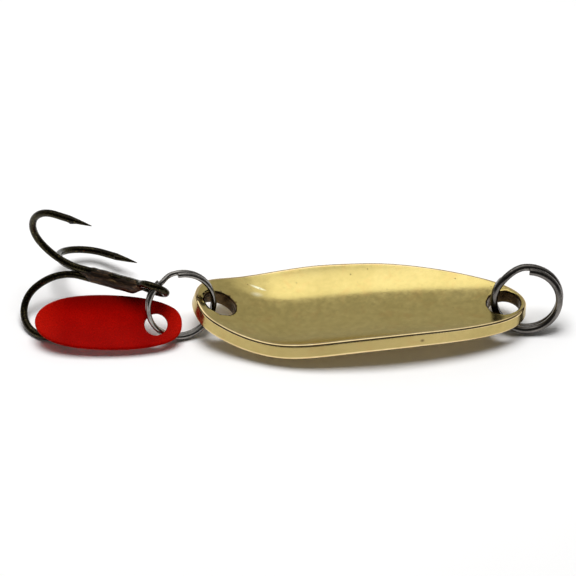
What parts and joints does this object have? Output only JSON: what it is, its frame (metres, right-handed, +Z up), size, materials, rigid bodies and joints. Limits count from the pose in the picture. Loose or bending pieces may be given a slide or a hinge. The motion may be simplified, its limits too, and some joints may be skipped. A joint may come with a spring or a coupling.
{
  "type": "spoon lure",
  "caption": "Dished brass spoon lure lying on its back, with a split ring at each end, a brazed treble hook and a red flipper tab on the tail ring.",
  "frame": {"origin": "centre of the bounding box, at its bottom, on the surface the lure lies on", "axes": "+X along the blade from the hook end towards the line-tie end, +Z up out of the hollow side of the blade, +Y across the blade"},
  "size_m": [0.065, 0.0202, 0.0147],
  "materials": {
    "blade_brass": "polished, satin in the hollow",
    "ring_black_nickel": "black nickel plate",
    "ring_nickel": "bright nickel plate",
    "hook_bronze": "bronzed and lacquered wire",
    "hook_braze": "bronzed braze",
    "tab_red": "translucent gloss red"
  },
  "bodies": {
    "blade": {"spoon_blade": "blade_brass"},
    "front_ring": {"front_split_ring": "ring_black_nickel"},
    "tail_ring": {"tail_split_ring": "ring_nickel"},
    "treble": {"treble_double_hook": "hook_bronze", "treble_third_hook": "hook_bronze", "treble_braze": "hook_braze"},
    "tab": {"flipper_tab": "tab_red"}
  },
  "joints": [
    {"name": "front_ring_swing", "type": "hinge", "parent": "blade", "child": "front_ring", "pos_m": [0.02436, -0.00242, 0.00326], "axis": [-0.2921, 0.2741, 0.9163], "range_deg": [-60, 10]},
    {"name": "tail_ring_swing", "type": "hinge", "parent": "blade", "child": "tail_ring", "pos_m": [-0.00928, -0.00235, 0.00311], "axis": [0.211, 0.374, 0.9031], "range_deg": [-45, 45]},
    {"name": "treble_swing", "type": "hinge", "parent": "tail_ring", "child": "treble", "pos_m": [-0.01626, -0.00315, 0.00678], "axis": [-0.555, -0.413, -0.722], "range_deg": [0, 35]},
    {"name": "tab_swing", "type": "hinge", "parent": "tail_ring", "child": "tab", "pos_m": [-0.0164, -0.00463, 0.00261], "axis": [-0.5003, 0.1461, 0.8535], "range_deg": [0, 60]}
  ]
}
